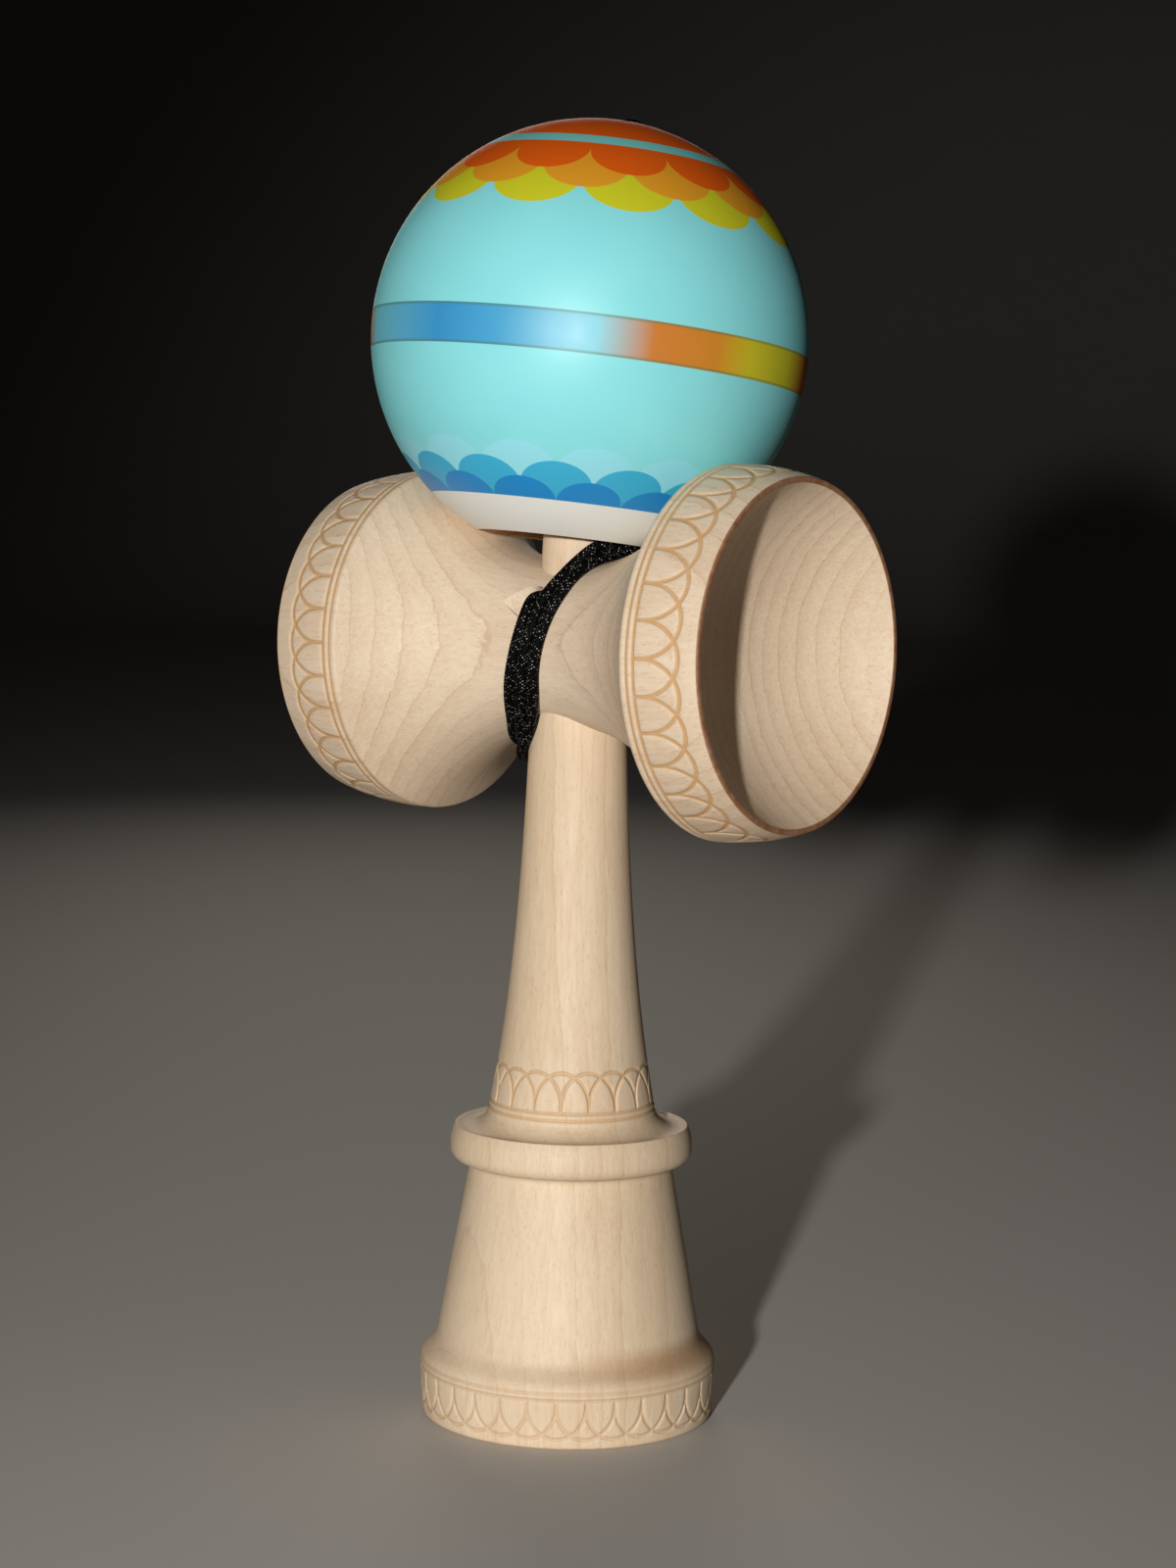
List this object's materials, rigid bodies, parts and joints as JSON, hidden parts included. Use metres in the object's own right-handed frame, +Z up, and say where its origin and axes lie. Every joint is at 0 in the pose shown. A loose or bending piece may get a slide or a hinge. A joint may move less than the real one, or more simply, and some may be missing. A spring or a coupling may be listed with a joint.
{
  "type": "kendama",
  "caption": "Wooden skill toy: a turned handle with a spike, a cross piece with two cups, a base cup, and a painted ball with a hole on a string.",
  "frame": {"origin": "centre of the ring that the handle stands on", "axes": "+Z up along the handle towards the spike, +X along the cross piece towards the big cup, -Y to the side where the string leaves its hole"},
  "size_m": [0.0729, 0.0619, 0.1807],
  "materials": {
    "handle_wood": "smooth natural wood with a thin satin seal",
    "cross_wood": "smooth natural wood with burnt rims and shallow burnt line bands",
    "ball_paint": "satin gloss paint on wood",
    "bead_wood": "plain turned wood",
    "string": "braided cord"
  },
  "bodies": {
    "ken": {"ken": "handle_wood", "anchor_knot": "string", "string_tail": "string"},
    "sarado": {"sarado": "cross_wood", "string_wraps": "string"},
    "bead": {"bead": "bead_wood", "end_knot": "string", "string_end": "string", "string_run": "string"},
    "tama": {"tama": "ball_paint"}
  },
  "joints": [
    {"name": "sarado_pull", "type": "slide", "parent": "ken", "child": "sarado", "axis": [0, 0, 1], "range_m": [0, 0.065]},
    {"name": "tama_lift", "type": "slide", "parent": "sarado", "child": "bead", "axis": [0, 0, 1], "range_m": [0, 0.045], "deforming": ["string_run"]},
    {"name": "tama_spin", "type": "hinge", "parent": "bead", "child": "tama", "pos_m": [0.00049, 0.00058, 0.1494], "axis": [0.0524, 0.0945, 0.9942], "continuous": true}
  ]
}
